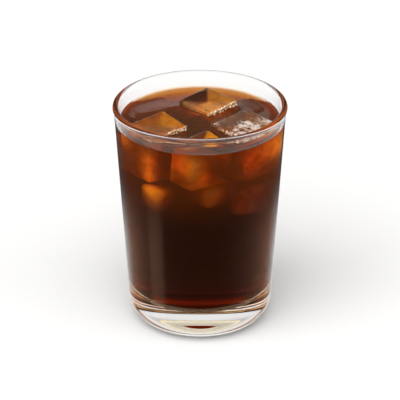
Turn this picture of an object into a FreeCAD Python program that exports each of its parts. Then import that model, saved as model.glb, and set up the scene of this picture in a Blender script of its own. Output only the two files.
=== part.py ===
import FreeCAD, Part
import math
import os

# Iced coffee in a heavy-based straight-sided tumbler.
# Millimetres, +Z up, origin on the table at the centre of the base.
# Each piece is one solid in its own file: the glass, the coffee up to its
# level, and every ice cube whose top shows at the surface of the coffee.

# ---- tumbler ----
GLASS_HEIGHT = 113.0          # table to the top of the rim
RIM_RADIUS = 42.0             # outside of the rolled rim
WALL_RADIUS_TOP = 41.55       # outside of the wall, carried up to the rim height
WALL_RADIUS_BASE = 34.6       # outside of the wall, carried down to the table
BEAD_RADIUS = 1.5             # half thickness of the rolled rim
BEAD_START_DEG = -35.0        # where the outside of the wall runs into the rim
BEAD_BLEND = 1.9              # height over which the wall swells into the rim
HEEL_RADIUS = 10.6            # rounded lower edge
FOOT_RING = 1.4               # width of the flat ring the glass rests on
PUSH_UP = 3.1                 # hollow under the middle of the base
BASE_THICKNESS = 11.7         # table to the lowest point of the inner floor
FLOOR_SWEEP = 100.0           # radius of the dished inner floor
INNER_RADIUS_BASE = 31.45     # inside of the wall, carried down to the table
INNER_FILLET = 9.0            # inside corner between wall and floor

# ---- coffee ----
COFFEE_LEVEL = 103.0          # flat surface of the coffee
MENISCUS_RISE = 2.1           # how far the coffee climbs the wall
MENISCUS_REACH = 5.5          # how far in from the wall the climb starts

# ---- ice ----
WALL_GAP = 0.8                # melted gap left between ice and glass

# name: (size across u, v and height), (centre of the top face),
#       (turn about Z, tilt about the cube's own u, tilt about its own v) in degrees,
#       draft (how much narrower each side of the underside is), edge radius
ICE = {
    "ice_back": ((20.4, 21.0, 24.5), (3.9, 18.6, 106.7), (46.0, 1.8, -2.6), 0.9, 1.3),
    "ice_left": ((20.4, 19.5, 23.5), (-19.9, -8.8, 106.2), (38.0, 2.6, -3.5), 0.8, 1.3),
    "ice_right": ((24.5, 20.0, 22.5), (20.9, -6.4, 105.8), (44.0, 3.2, -1.1), 1.0, 1.5),
    "ice_front": ((22.5, 15.5, 19.0), (1.0, -25.6, 103.6), (43.0, 10.0, -0.6), 0.7, 1.4),
    "ice_rear_left": ((22.0, 15.0, 18.0), (-23.9, 20.2, 103.3), (32.0, -2.5, 2.0), 0.8, 2.4),
    "ice_rear_right": ((13.0, 11.5, 14.0), (25.9, 21.6, 103.2), (-52.0, 3.0, 2.0), 0.6, 2.4),
}


def vec(r, z):
    """A point of a turned profile, radius outward and height upward."""
    return FreeCAD.Vector(r, 0.0, z)


def line(a, b):
    return Part.makeLine(a, b)


def arc_about(centre, radius, start_deg, end_deg):
    """An arc of a profile from three points on its circle."""
    points = []
    for share in (0.0, 0.5, 1.0):
        angle = math.radians(start_deg + (end_deg - start_deg) * share)
        points.append(centre + vec(radius * math.cos(angle), radius * math.sin(angle)))
    return Part.Arc(*points).toShape()


def turned(edges):
    """Revolve a closed profile about the upright axis."""
    face = Part.Face(Part.Wire(edges))
    return face.revolve(FreeCAD.Vector(0, 0, 0), FreeCAD.Vector(0, 0, 1), 360)


def outer_radius(z):
    """Outside radius of the straight wall at height z."""
    return WALL_RADIUS_BASE + (WALL_RADIUS_TOP - WALL_RADIUS_BASE) * z / GLASS_HEIGHT


def inner_radius(z):
    """Inside radius of the straight wall at height z."""
    top_z = GLASS_HEIGHT - BEAD_RADIUS
    top_r = RIM_RADIUS - 2.0 * BEAD_RADIUS
    return INNER_RADIUS_BASE + (top_r - INNER_RADIUS_BASE) * z / top_z


def inner_corner():
    """Centre of the fillet between the dished floor and the wall, and the wall's lean."""
    slope = (inner_radius(GLASS_HEIGHT) - inner_radius(0.0)) / GLASS_HEIGHT
    lean = math.atan(slope)
    start_r = inner_radius(0.0) - INNER_FILLET / math.cos(lean)
    sweep_z = BASE_THICKNESS + FLOOR_SWEEP
    # the centre is one fillet radius off the wall and lies inside the floor's own circle
    a = 1.0 + slope ** 2
    b = start_r * slope - sweep_z
    c = start_r ** 2 + sweep_z ** 2 - (FLOOR_SWEEP - INNER_FILLET) ** 2
    z = (-b - math.sqrt(b * b - a * c)) / a
    return vec(start_r + slope * z, z), lean


def cavity_edges(shrink, top_z):
    """Profile edges of the inside of the glass, from its axis up to the wall at top_z."""
    centre, lean = inner_corner()
    sweep_centre = vec(0, BASE_THICKNESS + FLOOR_SWEEP)
    sweep = FLOOR_SWEEP - shrink
    fillet = INNER_FILLET - shrink
    join_deg = math.degrees(math.atan2(centre.z - sweep_centre.z, centre.x))
    wall_start = centre + vec(fillet * math.cos(lean), -fillet * math.sin(lean))
    wall_end = vec(inner_radius(top_z) - shrink / math.cos(lean), top_z)
    return [
        arc_about(sweep_centre, sweep, -90.0, join_deg),
        arc_about(centre, fillet, join_deg, -math.degrees(lean)),
        line(wall_start, wall_end),
    ], wall_end


def make_glass():
    """The tumbler: foot ring, rounded heel, tapered wall, rolled rim, thick base."""
    lean = math.atan2(WALL_RADIUS_TOP - WALL_RADIUS_BASE, GLASS_HEIGHT)
    heel_r = WALL_RADIUS_BASE - HEEL_RADIUS * (1.0 - math.sin(lean)) / math.cos(lean)
    heel_centre = vec(heel_r, HEEL_RADIUS)
    heel_end = heel_centre + vec(HEEL_RADIUS * math.cos(lean), -HEEL_RADIUS * math.sin(lean))
    ring_r = heel_r - FOOT_RING
    dome = (ring_r ** 2 + PUSH_UP ** 2) / (2.0 * PUSH_UP)
    dome_deg = math.degrees(math.asin(ring_r / dome))
    hollow = arc_about(vec(0, PUSH_UP - dome), dome, 90.0, 90.0 - dome_deg)

    bead = vec(RIM_RADIUS - BEAD_RADIUS, GLASS_HEIGHT - BEAD_RADIUS)
    start = math.radians(BEAD_START_DEG)
    bead_start = bead + vec(BEAD_RADIUS * math.cos(start), BEAD_RADIUS * math.sin(start))
    blend_z = bead_start.z - BEAD_BLEND
    blend_start = vec(outer_radius(blend_z), blend_z)

    inside, inner_top = cavity_edges(0.0, bead.z)
    edges = [
        hollow,
        line(vec(ring_r, 0), vec(heel_r, 0)),
        arc_about(heel_centre, HEEL_RADIUS, -90.0, -math.degrees(lean)),
        line(heel_end, blend_start),
        line(blend_start, bead_start),
        arc_about(bead, BEAD_RADIUS, BEAD_START_DEG, 90.0),
        arc_about(bead, BEAD_RADIUS, 90.0, 180.0),
    ]
    edges += inside
    edges.append(line(vec(0, BASE_THICKNESS), vec(0, PUSH_UP)))
    return turned(Part.__sortEdges__(edges))


def cavity_solid(shrink, top_z):
    """The space inside the glass up to top_z, shrunk by a gap."""
    edges, wall_end = cavity_edges(shrink, top_z)
    edges.append(line(wall_end, vec(0, top_z)))
    edges.append(line(vec(0, top_z), vec(0, BASE_THICKNESS + shrink)))
    return turned(Part.__sortEdges__(edges))


def make_ice(size, top, turn, draft, edge_radius):
    """One cube: a block slightly narrower below, rounded on every edge, then tilted."""
    across_u, across_v, height = size
    wires = []
    for z, inset in ((-height, draft), (0.0, 0.0)):
        half_u = across_u / 2.0 - inset
        half_v = across_v / 2.0 - inset
        corners = [(-half_u, -half_v), (half_u, -half_v), (half_u, half_v), (-half_u, half_v)]
        points = [FreeCAD.Vector(u, v, z) for u, v in corners]
        wires.append(Part.makePolygon(points + points[:1]))
    block = Part.makeLoft(wires, True, True)
    block = block.makeFillet(edge_radius, block.Edges)
    about_z, about_u, about_v = turn
    spin = FreeCAD.Rotation(FreeCAD.Vector(0, 0, 1), about_z)
    tilt = FreeCAD.Rotation(FreeCAD.Vector(1, 0, 0), about_u)
    roll = FreeCAD.Rotation(FreeCAD.Vector(0, 1, 0), about_v)
    block.Placement = FreeCAD.Placement(FreeCAD.Vector(*top), spin.multiply(tilt).multiply(roll))
    return block


def make_coffee(cubes):
    """The coffee: fills the glass to its level, climbs the wall, and is cut round the ice."""
    edges, wall_end = cavity_edges(0.0, COFFEE_LEVEL + MENISCUS_RISE)
    flat_r = wall_end.x - MENISCUS_REACH
    curve = (MENISCUS_REACH ** 2 + MENISCUS_RISE ** 2) / (2.0 * MENISCUS_RISE)
    climb_deg = math.degrees(math.asin(MENISCUS_REACH / curve))
    curve_centre = vec(flat_r, COFFEE_LEVEL + curve)
    edges.append(arc_about(curve_centre, curve, -90.0, climb_deg - 90.0))
    edges.append(line(vec(flat_r, COFFEE_LEVEL), vec(0, COFFEE_LEVEL)))
    edges.append(line(vec(0, COFFEE_LEVEL), vec(0, BASE_THICKNESS)))
    drink = turned(Part.__sortEdges__(edges))
    for cube in cubes:
        drink = drink.cut(cube)
    return drink.Solids[0]


def main():
    os.makedirs("parts", exist_ok=True)
    room = cavity_solid(WALL_GAP, GLASS_HEIGHT - BEAD_RADIUS)
    cubes = {}
    for name, (size, top, turn, draft, edge_radius) in ICE.items():
        cube = make_ice(size, top, turn, draft, edge_radius)
        cubes[name] = cube.common(room).Solids[0]
    glass = make_glass()
    coffee = make_coffee(cubes.values())
    Part.Solid(glass.Shells[0]).exportStep("parts/glass.step")
    coffee.exportStep("parts/coffee.step")
    for name, cube in cubes.items():
        cube.exportStep("parts/%s.step" % name)


main()
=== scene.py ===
import math
import random

import bmesh
import bpy
from mathutils import Euler, Matrix, Vector, noise


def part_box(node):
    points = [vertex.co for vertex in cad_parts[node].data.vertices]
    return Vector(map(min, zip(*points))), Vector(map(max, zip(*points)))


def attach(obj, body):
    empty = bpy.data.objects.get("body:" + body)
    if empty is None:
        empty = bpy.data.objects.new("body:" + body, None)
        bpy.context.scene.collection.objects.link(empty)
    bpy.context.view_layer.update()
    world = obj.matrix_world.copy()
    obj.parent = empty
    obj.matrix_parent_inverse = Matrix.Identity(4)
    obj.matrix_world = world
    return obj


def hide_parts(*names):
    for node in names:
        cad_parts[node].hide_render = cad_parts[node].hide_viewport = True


MM = 0.001

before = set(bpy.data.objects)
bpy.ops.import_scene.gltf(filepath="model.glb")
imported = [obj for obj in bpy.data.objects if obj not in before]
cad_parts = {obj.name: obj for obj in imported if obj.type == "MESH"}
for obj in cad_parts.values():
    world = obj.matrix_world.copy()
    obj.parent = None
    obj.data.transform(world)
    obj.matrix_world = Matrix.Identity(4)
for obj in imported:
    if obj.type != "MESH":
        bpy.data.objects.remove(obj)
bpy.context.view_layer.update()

# ---- sizes, in millimetres unless a name says otherwise; the outer ones come from the frame ----
GLASS_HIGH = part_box("glass")[1]
COFFEE_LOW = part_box("coffee")[0]
HEIGHT = GLASS_HIGH.z / MM
RIM_RADIUS = GLASS_HIGH.x / MM
BASE_THICKNESS = COFFEE_LOW.z / MM   # table to the lowest point of the inner floor
WALL_TOP = 41.55              # outside of the wall, carried up to the rim height
WALL_BASE = 34.6              # outside of the wall, carried down to the table
BEAD = 1.5                    # half thickness of the rolled rim
BEAD_START_DEG = -35.0        # where the outside of the wall runs into the rim
BEAD_BLEND = 1.9              # height over which the wall swells into the rim
HEEL = 10.6                   # rounded lower edge
FOOT_RING = 1.4               # flat ring that the glass rests on
PUSH_UP = 3.1                 # hollow under the base
INNER_BASE = 31.45            # inside of the wall, carried down to the table
FLOOR_SWEEP = 100.0           # radius of the dished inner floor
INNER_FILLET = 9.0            # inside corner between wall and floor
LEVEL = 103.0                 # flat surface of the coffee
CAPILLARY = 2.7               # capillary length, which sets how the coffee climbs the wall
WETTING_DEG = 45.0            # mean slope of the coffee where it meets the wall
WETTING_SWING = 21.0          # steeper by this at the back, gentler at the front
WETTING_RIPPLE = 2.0          # and uneven by this round the glass
INTO_WALL = 0.12              # the drink reaches this far into the glass
ICE_OVERLAP = 0.08            # ice reaches this far into the drink
WALL_GAP = 0.8                # melted gap between ice and glass

GLASS_IOR = 1.5
ICE_IOR = 1.31
COFFEE_IOR = 1.333
SUNK_IOR = 1.0                # ice in coffee hardly bends light
SUNK_PAINTED_GLOW = 0.75              # strength of the painted glow, an emission standing in for the light that sunk ice passes on

# name: (size), (centre of the top face), (turn, tilt, roll in degrees), draft, edge radius
FLOATING = {
    "ice_back": ((20.4, 21.0, 24.5), (3.9, 18.6, 106.7), (46.0, 1.8, -2.6), 0.9, 1.3),
    "ice_left": ((20.4, 19.5, 23.5), (-19.9, -8.8, 106.2), (38.0, 2.6, -3.5), 0.8, 1.3),
    "ice_right": ((24.5, 20.0, 22.5), (20.9, -6.4, 105.8), (44.0, 3.2, -1.1), 1.0, 1.5),
    "ice_front": ((22.5, 15.5, 19.0), (1.0, -25.6, 103.6), (43.0, 10.0, -0.6), 0.7, 1.4),
    "ice_rear_left": ((22.0, 15.0, 18.0), (-23.9, 20.2, 103.3), (32.0, -2.5, 2.0), 0.8, 2.4),
    "ice_rear_right": ((13.0, 11.5, 14.0), (25.9, 21.6, 103.2), (-52.0, 3.0, 2.0), 0.6, 2.4),
}
SUNK = {
    "sunk_ice_middle": ((17.0, 16.0, 15.0), (6.5, -18.6, 87.0), (50.0, 14.0, 9.0), 0.8, 2.6),
    "sunk_ice_right": ((15.0, 15.0, 14.0), (21.0, -14.5, 78.5), (62.0, -12.0, 16.0), 0.8, 2.6),
    "sunk_ice_left": ((13.0, 12.5, 12.0), (-17.5, -19.5, 80.6), (38.0, 4.0, 3.0), 0.8, 2.6),
}


# ---- node helpers ----
def new_material(name):
    material = bpy.data.materials.new(name)
    material.use_nodes = True
    material.node_tree.nodes.clear()
    return material, material.node_tree


def node(tree, kind, **values):
    made = tree.nodes.new(kind)
    for key, value in values.items():
        setattr(made, key, value)
    return made


def put(tree, source, target):
    """Link source into the target socket, or set it when source is a number or a colour."""
    if isinstance(source, (int, float, tuple, list)):
        target.default_value = source
    else:
        tree.links.new(source, target)


def maths(tree, operation, *inputs, clamp=False):
    made = node(tree, "ShaderNodeMath", operation=operation, use_clamp=clamp)
    for value, socket in zip(inputs, made.inputs):
        put(tree, value, socket)
    return made.outputs[0]


def add(tree, a, b):
    return maths(tree, "ADD", a, b)


def minus(tree, a, b):
    return maths(tree, "SUBTRACT", a, b)


def times(tree, a, b):
    return maths(tree, "MULTIPLY", a, b)


def root(tree, value):
    return maths(tree, "POWER", value, 0.5)


def smooth(tree, value, low, high, to_low=0.0, to_high=1.0):
    """A soft step from to_low, where value is low, to to_high."""
    made = node(tree, "ShaderNodeMapRange", interpolation_type="SMOOTHSTEP")
    for source, socket in zip((value, low, high, to_low, to_high), made.inputs):
        put(tree, source, socket)
    return made.outputs[0]


def mix_value(tree, share, a, b):
    made = node(tree, "ShaderNodeMix", data_type="FLOAT")
    put(tree, share, made.inputs[0])
    put(tree, a, made.inputs[2])
    put(tree, b, made.inputs[3])
    return made.outputs[0]


def mix_colour(tree, share, a, b, blend_type="MIX"):
    made = node(tree, "ShaderNodeMix", data_type="RGBA", blend_type=blend_type)
    put(tree, share, made.inputs[0])
    put(tree, a, made.inputs[6])
    put(tree, b, made.inputs[7])
    return made.outputs[2]


def cloud(tree, coords, scale, detail=3.0, rough=0.5, distort=0.0):
    made = node(tree, "ShaderNodeTexNoise")
    put(tree, coords, made.inputs["Vector"])
    made.inputs["Scale"].default_value = scale
    made.inputs["Detail"].default_value = detail
    made.inputs["Roughness"].default_value = rough
    made.inputs["Distortion"].default_value = distort
    return made.outputs["Fac"]


def coordinates(tree):
    """Object coordinates, which are the part's own coordinates in metres."""
    return node(tree, "ShaderNodeTexCoord").outputs["Object"]


def parts_of(tree, vector):
    """The x, y and z sockets of a vector."""
    split = node(tree, "ShaderNodeSeparateXYZ")
    put(tree, vector, split.inputs[0])
    return split.outputs


def add_bump(tree, shader, height, strength, distance):
    bump = node(tree, "ShaderNodeBump")
    bump.inputs["Strength"].default_value = strength
    bump.inputs["Distance"].default_value = distance
    put(tree, height, bump.inputs["Height"])
    put(tree, bump.outputs[0], shader.inputs["Normal"])


def show(tree, shader):
    """Make this shader the material's surface."""
    output = node(tree, "ShaderNodeOutputMaterial")
    put(tree, shader.outputs[0], output.inputs["Surface"])
    return output


# ---- materials ----
CLEAR = (1.0, 1.0, 1.0, 1)
GLASS_TINT = (0.985, 0.992, 0.99, 1)
FINEST_ROUGHNESS = 0.003      # of the glass, the ice and the coffee's surface


def glass_material(name, ior):
    """Clear glass; ior is relative to what touches it, air or coffee."""
    material, tree = new_material(name)
    shader = node(tree, "ShaderNodeBsdfPrincipled")
    shader.inputs["Transmission Weight"].default_value = 1.0
    shader.inputs["IOR"].default_value = ior
    coords = coordinates(tree)
    colour = mix_colour(tree, cloud(tree, coords, 30.0, 2.0), GLASS_TINT, CLEAR)
    put(tree, colour, shader.inputs["Base Color"])
    put(tree, times(tree, cloud(tree, coords, 120.0, 2.0), FINEST_ROUGHNESS), shader.inputs["Roughness"])
    add_bump(tree, shader, cloud(tree, coords, 55.0, 1.0), 0.08, 0.0002)
    show(tree, shader)
    return material


IOR_AT_ICE = 1.003            # of the coffee where it touches ice or glass
ABSORB_COLOUR = (0.865, 0.63, 0.0, 1.0)
ABSORB_DENSITY = 520.0
PAINTED_GLOW_COLOUR = (1.0, 0.20, 0.015, 1.0)   # painted glow: emission that stands in for the light scattered inside the coffee
# painted glow given off all through the coffee
PAINTED_GLOW_EVERYWHERE = 0.008
PAINTED_GLOW_AT_WALL = (62.0 * MM, 98.0 * MM, 0.0, 0.13)   # painted glow beside the wall, brighter towards the top: (from height, to height, strength at each)
FILM_EDGE = 1.2               # width over which the oily film thins out beside the wall
FILM_STRENGTH = 0.12          # share of the light that the film sends back
FILM_COLOURS = ((0.38, 0.11, 0.02, 1), (0.50, 0.16, 0.035, 1))


def coffee_material():
    """A clear liquid that absorbs blue most and red least.

    Its free surface bends light as coffee in air does and carries a thin oily film. Against the
    wall the glass does the bending, and against the ice there is hardly any. It gives off a painted
    glow, faint everywhere and stronger beside the wall towards the top.
    """
    material, tree = new_material("black_coffee")
    shader = node(tree, "ShaderNodeBsdfPrincipled")
    coords = coordinates(tree)
    x, y, z = parts_of(tree, coords)
    from_axis = root(tree, add(tree, times(tree, x, x), times(tree, y, y)))
    wall_foot = (inner_radius(0.0) + INTO_WALL / 2) * MM
    wall = add(tree, times(tree, z, math.tan(INNER_LEAN)), wall_foot)
    off_wall = maths(tree, "LESS_THAN", from_axis, wall)
    on_top = maths(tree, "GREATER_THAN", z, (LEVEL - 0.02) * MM)
    free = times(tree, off_wall, on_top)
    ior = add(tree, IOR_AT_ICE, times(tree, free, COFFEE_IOR - IOR_AT_ICE))
    put(tree, ior, shader.inputs["IOR"])

    film = times(tree, free, smooth(tree, minus(tree, wall, from_axis), 0.0, FILM_EDGE * MM))
    oils = mix_colour(tree, cloud(tree, coords, 140.0, 3.0, 0.6, 1.2), *FILM_COLOURS)
    put(tree, mix_colour(tree, film, CLEAR, oils), shader.inputs["Base Color"])
    clear_share = minus(tree, 1.0, times(tree, film, FILM_STRENGTH))
    put(tree, clear_share, shader.inputs["Transmission Weight"])

    # painted glow: emission, faint everywhere, stronger beside the wall towards the top
    shader.inputs["Emission Color"].default_value = PAINTED_GLOW_COLOUR
    lit = times(tree, cloud(tree, coords, 28.0, 1.0), smooth(tree, z, *PAINTED_GLOW_AT_WALL))
    painted_glow = add(tree, PAINTED_GLOW_EVERYWHERE, times(tree, lit, minus(tree, 1.0, off_wall)))
    put(tree, painted_glow, shader.inputs["Emission Strength"])

    haze = times(tree, cloud(tree, coords, 400.0), FINEST_ROUGHNESS)
    put(tree, times(tree, haze, free), shader.inputs["Roughness"])
    add_bump(tree, shader, times(tree, cloud(tree, coords, 90.0, 1.0), free), 0.2, 0.0004)
    absorb = node(tree, "ShaderNodeVolumeAbsorption")
    absorb.inputs["Color"].default_value = ABSORB_COLOUR
    absorb.inputs["Density"].default_value = ABSORB_DENSITY
    output = show(tree, shader)
    put(tree, absorb.outputs[0], output.inputs["Volume"])
    return material


SHADED_ICE = (0.72, 0.66, 0.6, 1)       # darkest mottling of the ice's own colour
BROKEN_ICE = (0.66, 0.58, 0.52, 1)      # white, crushed-looking ice
MOST_SOLID = 0.96                       # the cloudiest ice still lets a little light through


def ice_material(name, ior, painted_glow):
    """Wet ice; ior is relative to what touches it, glow the strength of its painted glow, an emission
    standing in for the light it carries down from its top.

    The mesh carries how cloudy each point is ("core"), its colour with painted light and shade
    ("tint"), how broken and white it is ("frost") and the colour of its painted glow ("glow").
    """
    material, tree = new_material(name)
    shader = node(tree, "ShaderNodeBsdfPrincipled")
    shader.inputs["IOR"].default_value = ior
    coords = coordinates(tree)
    core = node(tree, "ShaderNodeAttribute", attribute_name="core").outputs["Fac"]
    tint_and_painted_light = node(tree, "ShaderNodeAttribute", attribute_name="tint_and_painted_light").outputs["Color"]
    frost = node(tree, "ShaderNodeAttribute", attribute_name="frost").outputs["Fac"]
    carried_painted_glow = node(tree, "ShaderNodeAttribute", attribute_name="painted_glow").outputs["Color"]
    broad = cloud(tree, coords, 170.0, 4.0, 0.6, 1.5)
    fine = cloud(tree, coords, 380.0, 4.0, 0.6)
    grains = smooth(tree, add(tree, fine, times(tree, broad, 0.9)), 0.78, 1.05)
    white = times(tree, frost, grains)

    mottled = mix_colour(tree, smooth(tree, broad, 0.3, 0.68), SHADED_ICE, CLEAR)
    # the tint attribute brings the ice's tone and the painted light and shade into the colour
    toned = mix_colour(tree, 1.0, tint_and_painted_light, mottled, "MULTIPLY")
    colour = mix_colour(tree, white, toned, BROKEN_ICE)
    solid = maths(tree, "MINIMUM", add(tree, core, times(tree, white, 0.75)), MOST_SOLID)
    base = mix_colour(tree, smooth(tree, solid, 0.0, 0.08), CLEAR, colour)
    put(tree, base, shader.inputs["Base Color"])
    clear_share = maths(tree, "SUBTRACT", 1.0, solid, clamp=True)
    put(tree, clear_share, shader.inputs["Transmission Weight"])
    roughness = add(tree, FINEST_ROUGHNESS, times(tree, white, 0.3))
    put(tree, roughness, shader.inputs["Roughness"])

    # painted glow: emission in the colour of the glow attribute, its strength varied by noise
    put(tree, carried_painted_glow, shader.inputs["Emission Color"])
    put(tree, smooth(tree, broad, 0.2, 0.7, 0.7 * painted_glow, painted_glow), shader.inputs["Emission Strength"])
    add_bump(tree, shader, add(tree, cloud(tree, coords, 200.0, 2.0), times(tree, white, 0.4)), 0.3, 0.0004)
    show(tree, shader)
    return material


def bubble_material():
    """Air frozen into the ice: bright pearls with an amber shade."""
    material, tree = new_material("air_bubbles")
    shader = node(tree, "ShaderNodeBsdfPrincipled")
    varied = smooth(tree, cloud(tree, coordinates(tree), 420.0, 2.0), 0.35, 0.65)
    pearl = mix_colour(tree, varied, (0.62, 0.33, 0.12, 1), (0.95, 0.86, 0.70, 1))
    put(tree, pearl, shader.inputs["Base Color"])
    shader.inputs["Roughness"].default_value = 0.12
    shader.inputs["IOR"].default_value = ICE_IOR
    show(tree, shader)
    return material


def floor_material():
    """A plain white tabletop."""
    material, tree = new_material("pale_floor")
    shader = node(tree, "ShaderNodeBsdfDiffuse")
    uneven = cloud(tree, coordinates(tree), 3.0, 2.0)
    white = mix_colour(tree, uneven, (0.90, 0.90, 0.90, 1), (0.91, 0.91, 0.905, 1))
    put(tree, white, shader.inputs["Color"])
    show(tree, shader)
    return material


# ---- mesh helpers ----
def finish_mesh(name, bm, *materials, smooth_faces=True):
    mesh = bpy.data.meshes.new(name)
    bmesh.ops.recalc_face_normals(bm, faces=bm.faces[:])
    for face in bm.faces:
        face.smooth = smooth_faces
    bm.to_mesh(mesh)
    bm.free()
    for material in materials:
        mesh.materials.append(material)
    made = bpy.data.objects.new(name, mesh)
    bpy.context.scene.collection.objects.link(made)
    return made


def arc(centre, radius, start_deg, end_deg, steps):
    points = []
    for step in range(steps + 1):
        angle = math.radians(start_deg + (end_deg - start_deg) * step / steps)
        points.append((centre[0] + radius * math.cos(angle), centre[1] + radius * math.sin(angle)))
    return points


def straight(a, b, steps):
    """Points from a to b, without a itself."""
    out, up = b[0] - a[0], b[1] - a[1]
    return [(a[0] + out * i / steps, a[1] + up * i / steps) for i in range(1, steps + 1)]


def outer_radius(z):
    return WALL_BASE + (WALL_TOP - WALL_BASE) * z / HEIGHT


def inner_radius(z):
    top_z = HEIGHT - BEAD
    return INNER_BASE + (RIM_RADIUS - 2 * BEAD - INNER_BASE) * z / top_z


INNER_LEAN = math.atan2(inner_radius(HEIGHT) - inner_radius(0.0), HEIGHT)


def inner_corner():
    """Centre (radius, height) of the fillet between the dished floor and the wall."""
    slope = math.tan(INNER_LEAN)
    start_r = inner_radius(0.0) - INNER_FILLET / math.cos(INNER_LEAN)
    sweep_z = BASE_THICKNESS + FLOOR_SWEEP
    a = 1.0 + slope ** 2
    b = start_r * slope - sweep_z
    c = start_r ** 2 + sweep_z ** 2 - (FLOOR_SWEEP - INNER_FILLET) ** 2
    z = (-b - math.sqrt(b * b - a * c)) / a
    return start_r + slope * z, z


ARC_STEPS = 16                # along the inner floor and along its fillet


def cavity_profile(grow, top_z, wall_steps):
    """(radius, height) from the axis at the inner floor up the wall, moved outward by grow."""
    centre = inner_corner()
    sweep_z = BASE_THICKNESS + FLOOR_SWEEP
    join = math.degrees(math.atan2(centre[1] - sweep_z, centre[0]))
    points = arc((0.0, sweep_z), FLOOR_SWEEP + grow, -90.0, join, ARC_STEPS)
    points += arc(centre, INNER_FILLET + grow, join, -math.degrees(INNER_LEAN), ARC_STEPS)[1:]
    end = (inner_radius(top_z) + grow / math.cos(INNER_LEAN), top_z)
    return points + straight(points[-1], end, wall_steps)


def wetting(angle):
    """Slope, in radians, at which the coffee meets the wall at this angle round the glass."""
    ripple = WETTING_RIPPLE * math.sin(3 * angle + 1.0)
    return math.radians(WETTING_DEG + WETTING_SWING * math.sin(angle) + ripple)


def contact_height(angle):
    """Height of the line where the coffee ends on the wall."""
    return LEVEL + 2 * CAPILLARY * math.sin(wetting(angle) / 2)


def revolve(bm, profile, segments):
    """Rings of a turned profile; points on the axis become single vertices."""
    rings = []
    for radius, z in profile:
        if radius < 1e-6:
            rings.append([bm.verts.new((0.0, 0.0, z * MM))])
            continue
        out = radius * MM
        ring = []
        for i in range(segments):
            angle = 2 * math.pi * i / segments
            ring.append(bm.verts.new((out * math.cos(angle), out * math.sin(angle), z * MM)))
        rings.append(ring)
    for below, above in zip(rings[:-1], rings[1:]):
        for i in range(segments):
            j = (i + 1) % segments
            if len(below) == 1:
                bm.faces.new((below[0], above[i], above[j]))
            elif len(above) == 1:
                bm.faces.new((below[i], below[j], above[0]))
            else:
                bm.faces.new((below[i], below[j], above[j], above[i]))
    return rings


# ---- the tumbler ----
TUMBLER_SEGMENTS = 192
HOLLOW_STEPS = 24
ROUND_STEPS = 26              # round the heel and round the rim
WALL_STEPS = 40
SLIDE = 30.0                  # the wall's vertices are shifted down to this far below the coffee's edge
ON_WALL = 0.01                # a vertex this near to the inner wall lies on it
WETTED_MARGIN = 0.3           # faces this far into the wall count as its inside


def outside_profile():
    """(radius, height) from the hollow under the base, round the heel and up over the rim."""
    lean = math.atan2(WALL_TOP - WALL_BASE, HEIGHT)
    heel_r = WALL_BASE - HEEL * (1 - math.sin(lean)) / math.cos(lean)
    ring_r = heel_r - FOOT_RING
    steps = HOLLOW_STEPS
    profile = [(ring_r * i / steps, PUSH_UP * (1 - (i / steps) ** 2)) for i in range(steps + 1)]
    profile += straight(profile[-1], (heel_r, 0.0), 3)
    profile += arc((heel_r, HEEL), HEEL, -90.0, -math.degrees(lean), ROUND_STEPS)[1:]
    bead = (RIM_RADIUS - BEAD, HEIGHT - BEAD)
    bead_arc = arc(bead, BEAD, BEAD_START_DEG, 180.0, ROUND_STEPS)
    blend_z = bead_arc[0][1] - BEAD_BLEND
    profile += straight(profile[-1], (outer_radius(blend_z), blend_z), WALL_STEPS)
    profile += straight(profile[-1], bead_arc[0], 3)[:-1]
    return profile + bead_arc


def follow_contact(bm, mean_line, top_z):
    """Shift the inner wall's vertices up or down, so that one ring lies on the coffee's edge."""
    for vert in bm.verts:
        x, y, z = vert.co / MM
        if abs(math.hypot(x, y) - inner_radius(z)) > ON_WALL or z < mean_line - SLIDE:
            continue
        nearness = 1 - (mean_line - z) / SLIDE if z < mean_line else (top_z - z) / (top_z - mean_line)
        z += (contact_height(math.atan2(y, x)) - mean_line) * max(0.0, nearness)
        grown = inner_radius(z) / math.hypot(x, y)
        vert.co = Vector((x * grown, y * grown, z)) * MM


def make_tumbler(dry, wetted):
    mean_line = contact_height(0.0)
    top_z = HEIGHT - BEAD
    inside = cavity_profile(0.0, mean_line, WALL_STEPS)
    inside += straight(inside[-1], (inner_radius(top_z), top_z), 6)
    bm = bmesh.new()
    revolve(bm, outside_profile() + inside[::-1][1:], TUMBLER_SEGMENTS)
    for face in bm.faces:
        middle = face.calc_center_median() / MM
        inward = math.hypot(middle.x, middle.y) < inner_radius(middle.z) + WETTED_MARGIN
        under_coffee = BASE_THICKNESS - WETTED_MARGIN < middle.z < mean_line
        face.material_index = int(inward and under_coffee)
    follow_contact(bm, mean_line, top_z)
    made = finish_mesh("tumbler", bm, dry, wetted)
    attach(made, "root")
    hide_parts("glass")
    return made


# ---- ice ----
def ice_matrix(top, turn):
    spin, tilt, roll = (math.radians(angle) for angle in turn)
    turned = Matrix.Rotation(spin, 4, "Z") @ Matrix.Rotation(tilt, 4, "X")
    turned = turned @ Matrix.Rotation(roll, 4, "Y")
    return Matrix.Translation(Vector(top)) @ turned


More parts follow.
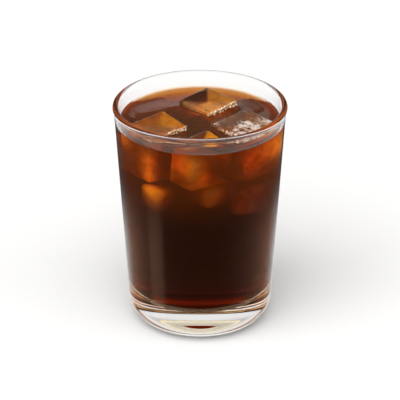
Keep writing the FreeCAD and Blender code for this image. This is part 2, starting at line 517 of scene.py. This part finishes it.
def rounded_block(size, draft, edge, cuts):
    """A block's bmesh in millimetres, top face at z 0, dense near its rounded edges."""
    half = Vector((size[0] / 2, size[1] / 2, size[2] / 2))
    bm = bmesh.new()
    bmesh.ops.create_cube(bm, size=2.0)
    bmesh.ops.subdivide_edges(bm, edges=bm.edges[:], cuts=cuts, use_grid_fill=True)
    for vert in bm.verts:
        spread = Vector([math.sin(c * math.pi / 2) * 0.75 + c * 0.25 for c in vert.co])
        full = Vector([spread[i] * half[i] for i in range(3)])
        core = Vector([max(-half[i] + edge, min(half[i] - edge, full[i])) for i in range(3)])
        away = full - core
        point = core + away.normalized() * edge if away.length > 1e-9 else full
        narrow = draft * (0.5 - point.z / (2 * half.z))
        point.x *= 1 - narrow / half.x
        point.y *= 1 - narrow / half.y
        point.z -= half.z
        vert.co = point
    return bm


def keep_in_glass(point, gap):
    """Melts a point back from the wall."""
    limit = inner_radius(max(point.z, BASE_THICKNESS + 3)) - gap
    flat = math.hypot(point.x, point.y)
    if flat > limit:
        point.x *= limit / flat
        point.y *= limit / flat
    return point


def blend(a, b, share):
    return [p + (q - p) * share for p, q in zip(a, b)]


def ramp(value, low, high):
    """A soft step from 0, at low, to 1, at high."""
    share = max(0.0, min(1.0, (value - low) / (high - low)))
    return share * share * (3 - 2 * share)


# painted light and shade for what shows through each clear top: (painted colour of the right back face),
# (of the left back face), (of the bottom), cloudiness of the top
PAINTED_LIGHT_LOOKS = {
    "ice_back": ((0.95, 0.40, 0.04), (0.12, 0.028, 0.006), (1.0, 0.50, 0.18), 0.28),
    "ice_left": ((1.0, 0.36, 0.015), (0.70, 0.21, 0.02), (0.78, 0.30, 0.10), 0.32),
    "ice_right": ((0.50, 0.22, 0.09), (0.36, 0.20, 0.13), (0.55, 0.20, 0.05), 0.35),
    "ice_front": ((1.0, 0.36, 0.015), (0.24, 0.06, 0.015), (1.0, 0.46, 0.05), 0.5),
    "ice_rear_left": ((0.70, 0.25, 0.10), (0.55, 0.18, 0.07), (0.62, 0.21, 0.08), 0.85),
    "ice_rear_right": ((0.30, 0.09, 0.03), (0.22, 0.06, 0.02), (0.26, 0.075, 0.025), 0.85),
}
# colour of inner faces out of reach of the painted light from above, and of all sunk ice
DEEP_COLOUR = (0.70, 0.42, 0.18)
RIBS_PER_MM = 0.55            # painted stripes of light and shade stand in for upright ribs on the front sides that stand out of the coffee
# painted shade in the grooves, painted light on the ridges
PAINTED_RIB_LIGHT_AND_SHADE = ((0.34, 0.13, 0.03), (0.95, 0.62, 0.30))
RIB_CORE = 0.75
SHALLOW = 13.0                # depth to which painted light from above shows up the inner faces
FLUSH = 0.6                   # cubes whose top is lower than this above the coffee lie level with it
FLUSH_DEPTH = 8.0             # the painted light of their top reaches down this far
DRY = (LEVEL + 0.4, LEVEL + 1.0)    # between these heights the ice turns from wet to dry
WET_LINE = LEVEL + 0.9        # faces below it are seen through the coffee

# painted glow spots, cloudiness and emission where light that came in from above would leave the sunk ice:
# (centre), reach, strength, colour; the two colours here are painted glow colours
PAINTED_AMBER_GLOW = (1.0, 0.62, 0.05)
PAINTED_RUST_GLOW = (1.0, 0.26, 0.012)
PAINTED_GLOW_SPOTS = [
    ((-22.5, -24.0, 92.0), 7.0, 1.5, PAINTED_AMBER_GLOW),
    ((-20.5, -23.5, 84.0), 5.5, 2.0, PAINTED_AMBER_GLOW),
    ((-20.5, -25.0, 77.0), 5.0, 0.36, PAINTED_RUST_GLOW),
    ((-13.0, -24.0, 97.5), 5.0, 0.5, PAINTED_RUST_GLOW),
    ((-5.5, -31.0, 97.0), 6.5, 0.9, PAINTED_RUST_GLOW),
    ((0.5, -30.5, 90.0), 4.0, 0.5, PAINTED_RUST_GLOW),
    ((4.0, -27.0, 80.5), 5.5, 0.26, PAINTED_AMBER_GLOW),
    ((10.0, -27.0, 77.5), 5.0, 0.22, PAINTED_AMBER_GLOW),
    ((4.5, -27.0, 74.5), 3.5, 0.2, PAINTED_AMBER_GLOW),
    ((16.0, -25.0, 71.5), 5.0, 0.22, PAINTED_RUST_GLOW),
    ((23.5, -22.0, 93.0), 6.0, 1.2, PAINTED_RUST_GLOW),
    ((26.0, -20.0, 87.0), 4.5, 0.7, PAINTED_RUST_GLOW),
    ((29.5, -14.5, 97.0), 6.0, 1.1, PAINTED_AMBER_GLOW),
    ((33.0, -8.0, 96.5), 6.0, 1.6, PAINTED_AMBER_GLOW),
    ((-33.0, -10.5, 100.5), 4.5, 1.0, PAINTED_AMBER_GLOW),
]


def core_at(point):
    """How cloudy sunk ice is at this point, and the colour of the painted glow it gives off there."""
    total = 0.0
    painted_glow = [0.0, 0.0, 0.0]
    wander = 0.85 + 0.3 * noise.noise(point * 0.25)
    for centre, reach, strength, colour in PAINTED_GLOW_SPOTS:
        share = strength * wander * math.exp(-((point - Vector(centre)).length / reach) ** 2)
        total += share
        painted_glow = [had + share * channel for had, channel in zip(painted_glow, colour)]
    return min(1.2, total), painted_glow


WAVES = 0.16                  # height of the waves melted into the cubes
CUTS = 39                     # vertices along a cube's edge, less the corners
PITS = {"ice_right": 0.9}     # depth of the rough pits in a broken top


def melt(bm, shift, pits):
    """How far each vertex moves: slow waves, small ones and, on a broken top, pits."""
    moves = []
    for vert in bm.verts:
        soft = noise.noise(vert.co * 0.16 + shift) * WAVES * 1.6
        small = noise.noise(vert.co * 0.55 + shift) * WAVES * 0.55
        pit = 0.0
        if pits:
            rough = noise.fractal(vert.co * 0.42 + shift, 0.9, 2.0, 4)
            pit = min(0.0, rough) * pits * max(0.0, vert.normal.z) ** 2
        moves.append(vert.normal * (soft + small - WAVES * 0.9 + pit))
    return moves


def floating_tone_and_painted_light(look, core, local, across, height, upward, wander, dry_share, flush):
    """(cloudiness, colour with painted light and shade) at a point of a floating cube; across is its place
    from -1 to 1.
    """
    right_back, left_back, bottom, cloudy = look
    a, b = across
    # painted light and shade: one back face lit, the other shaded, blended towards the bottom's colour
    inside = blend(left_back, right_back, ramp(a - b, -0.12, 0.12))
    inside = blend(inside, bottom, ramp(-a - b + wander * 0.3, 0.1, 0.7))
    if flush and height > LEVEL - FLUSH_DEPTH:
        return cloudy, inside
    if dry_share and upward < 0.6 and b < -0.85:
        # painted rib stripes of light and shade
        painted_ribs = 0.5 + 0.5 * math.sin(local.x * RIBS_PER_MM * 2 * math.pi + wander * 6.0)
        return RIB_CORE, blend(*PAINTED_RIB_LIGHT_AND_SHADE, painted_ribs)
    # painted light from above: shallow inner faces behind take the lit colours, deeper ones fade to
    # DEEP_COLOUR
    shallow = ramp(height, LEVEL - SHALLOW, LEVEL - 3.0)
    behind = ramp(a + b + wander * 0.4, -0.1, 0.5)
    under = ramp(-upward, 0.4, 0.8)
    colour = blend(DEEP_COLOUR, inside, max(shallow * behind, under, dry_share))
    wall_core = max(0.75 * shallow * behind, 0.5 * under)
    core = max(core, wall_core) * (1 - dry_share) + cloudy * (1.0 + wander) * dry_share
    return core, colour


def make_ice(name, spec, dry, sunk, seed):
    """One cube, with the values that ice_material reads stored at its vertices."""
    size, top, turn, draft, edge = spec
    look = PAINTED_LIGHT_LOOKS.get(name)
    pits = PITS.get(name, 0.0)
    bm = rounded_block(size, draft, edge, CUTS)
    bm.normal_update()
    matrix = ice_matrix(top, turn)
    shift = Vector((seed * 13.7, seed * 5.1, seed * 9.3))
    moves = melt(bm, shift, pits)
    cores, tints_and_painted_light, frosts, painted_glows = [], [], [], []
    flush = top[2] < LEVEL + FLUSH
    for vert, move in zip(bm.verts, moves):
        local = vert.co.copy()
        upward = vert.normal.z
        point = keep_in_glass(matrix @ (local + move), WALL_GAP)
        if flush:
            point.z = min(point.z, LEVEL - 0.25 + (point.z - LEVEL) * 0.15)
        vert.co = point * MM
        a = local.x / (size[0] / 2)
        b = local.y / (size[1] / 2)
        wander = noise.noise(local * 0.13 + shift) * 0.5 + noise.noise(local * 0.4 + shift) * 0.18
        dry_share = ramp(point.z, *DRY)
        core, painted_glow = core_at(point)
        colour = DEEP_COLOUR
        if look:
            core, colour = floating_tone_and_painted_light(look, core, local, (a, b), point.z, upward, wander,
                                         dry_share, flush)
        frost = 0.0
        if pits:
            rough = noise.noise(local * 0.16 + shift * 2) + 0.45 - 0.55 * b - 0.3 * a
            frost = ramp(rough, 0.05, 0.7)
        cores.append(core)
        tints_and_painted_light.extend(list(colour) + [1.0])
        frosts.append(frost * dry_share)
        # painted glow, kept off the dry ice
        painted_glows.extend([channel * (1 - dry_share) for channel in painted_glow] + [1.0])
    for face in bm.faces:
        face.material_index = int(face.calc_center_median().z < WET_LINE * MM)
    piece = name if name in SUNK else name + "_cube"
    made = finish_mesh(piece, bm, dry, sunk)
    attributes = made.data.attributes
    attributes.new("core", "FLOAT", "POINT").data.foreach_set("value", cores)
    attributes.new("frost", "FLOAT", "POINT").data.foreach_set("value", frosts)
    attributes.new("painted_glow", "FLOAT_COLOR", "POINT").data.foreach_set("color", painted_glows)
    attributes.new("tint_and_painted_light", "FLOAT_COLOR", "POINT").data.foreach_set("color", tints_and_painted_light)
    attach(made, "root")
    return made


# cube, side the bubbles line ("u" or "v", each at its low end), start and end along it, count
BUBBLE_ROWS = [
    ("ice_back", "v", -0.93, 0.90, 64),
    ("ice_left", "v", -0.20, 0.93, 52),
    ("ice_left", "u", -0.90, -0.35, 14),
    ("ice_right", "u", -0.90, 0.2, 18),
    ("ice_right", "v", -0.2, 0.8, 18),
    ("ice_front", "v", -0.6, 0.6, 8),
]


BUBBLE_RADII = (0.2, 0.52)
BUBBLE_DEPTHS = (-0.75, -0.75, -1.9, -2.6)    # rows below the cube's top, the first one twice as full
BUBBLE_STRETCH = 1.3


def make_bubbles():
    """Small frozen-in bubbles, crowded just under the upper edges of the floating cubes."""
    rng = random.Random(7)
    bm = bmesh.new()
    for name, side, start, end, count in BUBBLE_ROWS:
        size, top, turn, draft, edge = FLOATING[name]
        matrix = ice_matrix(top, turn)
        for k in range(count):
            share = start + (end - start) * (k + rng.uniform(0.1, 0.9)) / count
            radius = rng.uniform(*BUBBLE_RADII)
            depth = rng.choice(BUBBLE_DEPTHS) + rng.uniform(-0.3, 0.3)
            sink = 0.1 * radius
            if side == "v":
                local = Vector((share * size[0] / 2, -size[1] / 2 + sink, depth))
            else:
                local = Vector((-size[0] / 2 + sink, share * size[1] / 2, depth))
            spot = matrix @ local
            if spot.z < LEVEL + FLUSH:
                continue
            across = radius * MM
            stretched = Matrix.Diagonal((across, across, across * BUBBLE_STRETCH, 1))
            grown = Matrix.Translation(spot * MM) @ stretched
            bmesh.ops.create_icosphere(bm, subdivisions=2, radius=1.0, matrix=grown)
    made = finish_mesh("air_bubbles", bm, bubble_material())
    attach(made, "root")


# ---- the coffee ----
CLIMB_STEPS = 24              # rings of the surface that climb the wall
FLAT_STEPS = 66               # and from there to the middle
DRINK_SEGMENTS = 220
STRIP = 2.0                   # below this depth the side of the drink is a plain turned shape
STRIP_STEPS = 4
ICE_CLIMB = 0.9               # the most that the surface is drawn up beside the ice
ICE_CLIMB_REACH = 1.5         # distance over which that fades
ICE_CORNER = 2.0              # how round the cubes' outline is taken to be
ICE_FRAMES = [(spec, ice_matrix(spec[1], spec[2]).inverted()) for spec in FLOATING.values()]


def climb_at_ice(x, y):
    """How far the surface is drawn up beside the ice, in millimetres."""
    best = 0.0
    for spec, inverse in ICE_FRAMES:
        size = spec[0]
        local = inverse @ Vector((x, y, LEVEL))
        out_u = abs(local.x) - size[0] / 2 + ICE_CORNER
        out_v = abs(local.y) - size[1] / 2 + ICE_CORNER
        outside = math.hypot(max(out_u, 0.0), max(out_v, 0.0)) - ICE_CORNER
        stands = max(0.0, min(ICE_CLIMB, -local.z * 0.5 + 0.1))
        best = max(best, stands * math.exp(-max(outside, 0.0) / ICE_CLIMB_REACH))
    return best


def meniscus(slope, start):
    """(distance from the wall, height) where the climb has this slope; it meets the wall at start."""
    run = math.log(math.tan(start / 4) / math.tan(slope / 4))
    run += 2 * (math.cos(start / 2) - math.cos(slope / 2))
    return CAPILLARY * run, 2 * CAPILLARY * math.sin(slope / 2)


def surface_line(angle):
    """(radius, height above the level) of the free surface at this angle, from the wall inward."""
    start = wetting(angle)
    line = []
    for k in range(CLIMB_STEPS):
        distance, climb = meniscus(start * (1 - 0.96 * k / (CLIMB_STEPS - 1)) ** 1.2, start)
        line.append((inner_radius(LEVEL + climb) - distance, climb))
    edge, climb = line[-1]
    for k in range(1, FLAT_STEPS):
        share = 1 - k / FLAT_STEPS
        line.append((edge * share, climb * math.exp(-(edge - edge * share) / CAPILLARY)))
    return line


def side_line(angle):
    """(radius, height) up the last stretch of the drink's side, at this angle."""
    rise = contact_height(angle) - LEVEL + STRIP
    heights = [LEVEL - STRIP + rise * k / STRIP_STEPS for k in range(1, STRIP_STEPS + 1)]
    return [(inner_radius(z) + INTO_WALL / math.cos(INNER_LEAN), z) for z in heights]


def make_coffee(material, cubes):
    segments = DRINK_SEGMENTS
    bm = bmesh.new()
    previous = revolve(bm, cavity_profile(INTO_WALL, LEVEL - STRIP, 50), segments)[-1]
    angles = [2 * math.pi * i / segments for i in range(segments)]
    side_lines = [side_line(angle) for angle in angles]
    surface_lines = [surface_line(angle) for angle in angles]
    for k in range(STRIP_STEPS + len(surface_lines[0])):
        ring = []
        for angle, side, line in zip(angles, side_lines, surface_lines):
            if k < STRIP_STEPS:
                radius, height = side[k]
            else:
                radius, climb = line[k - STRIP_STEPS]
                beside_ice = climb_at_ice(radius * math.cos(angle), radius * math.sin(angle))
                at_wall = k == STRIP_STEPS
                height = LEVEL + (climb if at_wall else max(climb, beside_ice + climb * 0.5))
            x, y = radius * math.cos(angle), radius * math.sin(angle)
            ring.append(bm.verts.new((x * MM, y * MM, height * MM)))
        for i in range(segments):
            j = (i + 1) % segments
            bm.faces.new((previous[i], previous[j], ring[j], ring[i]))
        previous = ring
    middle = bm.verts.new((0.0, 0.0, (LEVEL + climb_at_ice(0.0, 0.0)) * MM))
    for i in range(segments):
        bm.faces.new((previous[i], previous[(i + 1) % segments], middle))
    made = finish_mesh("coffee_body", bm, material)
    for cube in cubes:
        cut_round(made, cube)
    for face in made.data.polygons:
        face.use_smooth = True
    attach(made, "root")
    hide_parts("coffee")
    return made


def cut_round(drink, cube):
    """Take a slightly shrunken copy of a cube out of the drink."""
    cutter = cube.copy()
    cutter.data = cube.data.copy()
    bpy.context.scene.collection.objects.link(cutter)
    bm = bmesh.new()
    bm.from_mesh(cutter.data)
    bm.normal_update()
    for vert in bm.verts:
        vert.co -= vert.normal * ICE_OVERLAP * MM
    bm.to_mesh(cutter.data)
    bm.free()
    cutter.data.materials.clear()
    cutter.data.materials.append(drink.data.materials[0])
    modifier = drink.modifiers.new("cut", "BOOLEAN")
    modifier.operation = "DIFFERENCE"
    modifier.solver = "EXACT"
    modifier.object = cutter
    bpy.context.view_layer.update()
    depsgraph = bpy.context.evaluated_depsgraph_get()
    result = bpy.data.meshes.new_from_object(drink.evaluated_get(depsgraph))
    drink.modifiers.clear()
    old = drink.data
    drink.data = result
    result.name = old.name + "_cut"
    bpy.data.meshes.remove(old)
    bpy.data.objects.remove(cutter)


# ---- stage, light and camera ----
FLOOR_REACH = 4.0             # from the middle to each side, in metres
FLOOR_DROP = 0.05             # clear of the foot ring


def make_floor():
    bm = bmesh.new()
    bmesh.ops.create_grid(bm, x_segments=2, y_segments=2, size=FLOOR_REACH)
    for vert in bm.verts:
        vert.co.z = -FLOOR_DROP * MM
    floor = finish_mesh("floor", bm, floor_material(), smooth_faces=False)
    floor.visible_glossy = False


# Steps of the room's light, each (starts, ends, strength before, strength after). They run along
# a part of the unit direction, with x to the right, y towards the back and z upward.
SOFT_BOX = Vector((-0.34, -0.60, 0.72)).normalized()
BOX_STEP = (0.75, 0.88, 0.0, 1.4)       # towards the soft box
LIT_STEP = (-0.3, 0.2, 1.5, 0.3)        # along y, for the light that falls on things
NEAR_STEP = (0.3, 0.6, 0.22, 0.62)      # along z, for the near half as seen through glass
FAR_STEP = (0.5, 0.8, 0.88, 0.36)       # and for the far half
HALVES = (-0.2, 0.3)                    # where the near half turns into the far one, along y
DIM_STEP = (0.2, 0.8, 0.12, 0.34)       # along z, for what surfaces mirror
BOX_MIRRORED = 0.22                     # share of the soft box that surfaces mirror
LOWER_STEP = (-0.95, 1.0, 0.02, 0.92)   # below the horizon, from front to back
STRIP_LIGHT_DEG = 72.0                  # the upright strip is this far to the left of the front
STRIP_LIGHT_STEP = (math.cos(math.radians(16)), math.cos(math.radians(7)), 0.0, 0.62)
TABLE_EDGE = 0.4485                     # how far below level the table's edge is mirrored, as a sine
TABLE_EDGE_BEND = 0.1088                # and how much further down towards the front
TABLE_EDGE_STEP = (-0.016, 0.016, 1.0, 0.1)
HORIZON = (-0.03, 0.03)


def light_above(tree, direction, mirrored, through):
    """Strength above the horizon: soft box and room, dimmer where surfaces mirror it."""
    x, y, z = direction
    towards = add(tree, times(tree, x, SOFT_BOX.x), times(tree, y, SOFT_BOX.y))
    towards = add(tree, towards, times(tree, z, SOFT_BOX.z))
    box = smooth(tree, towards, *BOX_STEP)
    lit = smooth(tree, y, *LIT_STEP)
    near = smooth(tree, z, *NEAR_STEP)
    far = smooth(tree, z, *FAR_STEP)
    seen = mix_value(tree, smooth(tree, y, *HALVES), near, far)
    room = mix_value(tree, through, lit, seen)
    box_shown = times(tree, box, minus(tree, 1.0, times(tree, through, 0.5)))
    dim = add(tree, smooth(tree, z, *DIM_STEP), times(tree, box, BOX_MIRRORED))
    return mix_value(tree, mirrored, add(tree, room, box_shown), dim)


def light_below(tree, direction, behind, sideways):
    """Strength below the horizon: darker in front, with an upright strip and the table's edge.

    Surfaces reflect the white table low down and the dark beyond its edge higher up.
    """
    strip_angle = math.radians(STRIP_LIGHT_DEG)
    facing = add(tree, times(tree, sideways, -math.sin(strip_angle)),
                 times(tree, behind, -math.cos(strip_angle)))
    strip = smooth(tree, facing, *STRIP_LIGHT_STEP)
    lower = add(tree, smooth(tree, behind, *LOWER_STEP), strip)
    bend = root(tree, times(tree, minus(tree, 1.0, behind), 0.5))
    under_edge = add(tree, add(tree, direction[2], TABLE_EDGE), times(tree, bend, TABLE_EDGE_BEND))
    return times(tree, lower, smooth(tree, under_edge, *TABLE_EDGE_STEP))


def make_world():
    """A soft white room with a wide soft box overhead.

    It shows differently in the light that falls on things, through the glass and mirrored by
    surfaces. Mirrored light passes the floor by, and only there does the lower half show.
    """
    world = bpy.data.worlds.new("studio")
    bpy.context.scene.world = world
    world.use_nodes = True
    tree = world.node_tree
    tree.nodes.clear()
    direction = parts_of(tree, node(tree, "ShaderNodeTexCoord").outputs["Generated"])
    x, y, z = direction
    level_part = root(tree, minus(tree, 1.0, times(tree, z, z)))
    level_part = maths(tree, "MAXIMUM", level_part, 0.01)
    behind = maths(tree, "DIVIDE", y, level_part)
    sideways = maths(tree, "DIVIDE", x, level_part)
    path = node(tree, "ShaderNodeLightPath").outputs
    through = path["Is Transmission Ray"]
    mirrored = times(tree, path["Is Glossy Ray"], minus(tree, 1.0, through))

    upper = light_above(tree, direction, mirrored, through)
    lower = light_below(tree, direction, behind, sideways)
    above_horizon = smooth(tree, z, *HORIZON)
    upper_colour = mix_colour(tree, mirrored, (1.0, 0.995, 0.985, 1), (1.0, 0.82, 0.68, 1))
    far_share = smooth(tree, behind, 0.55, 0.92)
    lower_colour = mix_colour(tree, far_share, (1.0, 0.58, 0.38, 1), (1.0, 0.96, 0.92, 1))
    background = node(tree, "ShaderNodeBackground")
    colour = mix_colour(tree, above_horizon, lower_colour, upper_colour)
    put(tree, colour, background.inputs["Color"])
    put(tree, mix_value(tree, above_horizon, lower, upper), background.inputs["Strength"])
    output = node(tree, "ShaderNodeOutputWorld")
    put(tree, background.outputs[0], output.inputs["Surface"])


CAMERA_ELEVATION_DEG = 26.49
CAMERA_DISTANCE = 1.1         # in metres
CAMERA_AIM = Vector((0.0, 0.0, 0.0612))
SENSOR_WIDTH = 36.0
FOCAL_RATIO = 5.6145          # focal length as a multiple of the sensor's width


def make_camera():
    elevation = math.radians(CAMERA_ELEVATION_DEG)
    data = bpy.data.cameras.new("camera")
    data.sensor_width = SENSOR_WIDTH
    data.lens = SENSOR_WIDTH * FOCAL_RATIO
    data.clip_start = 0.05
    camera = bpy.data.objects.new("camera", data)
    bpy.context.scene.collection.objects.link(camera)
    back_off = Vector((0.0, -math.cos(elevation), math.sin(elevation))) * CAMERA_DISTANCE
    camera.location = CAMERA_AIM + back_off
    camera.rotation_euler = Euler((math.pi / 2 - elevation, 0.0, 0.0))
    bpy.context.scene.camera = camera


def main():
    scene = bpy.context.scene
    scene.view_settings.view_transform = "Standard"
    scene.view_settings.look = "None"
    scene.cycles.max_bounces = 28
    scene.cycles.transmission_bounces = 28
    scene.cycles.glossy_bounces = 12
    scene.cycles.diffuse_bounces = 6

    clear_glass = glass_material("clear_glass", GLASS_IOR)
    make_tumbler(clear_glass, glass_material("glass_at_coffee", GLASS_IOR / COFFEE_IOR))
    wet_ice = ice_material("wet_ice", ICE_IOR, 0.0)
    sunk_ice = ice_material("sunk_ice", SUNK_IOR, SUNK_PAINTED_GLOW)
    cubes = []
    for seed, (name, spec) in enumerate(FLOATING.items()):
        cube = make_ice(name, spec, wet_ice, sunk_ice, seed + 1)
        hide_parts(name)
        cubes.append(cube)
    for seed, (name, spec) in enumerate(SUNK.items()):
        cubes.append(make_ice(name, spec, sunk_ice, sunk_ice, seed + 11))
    make_bubbles()
    make_coffee(coffee_material(), cubes)
    make_floor()
    make_world()
    make_camera()


main()
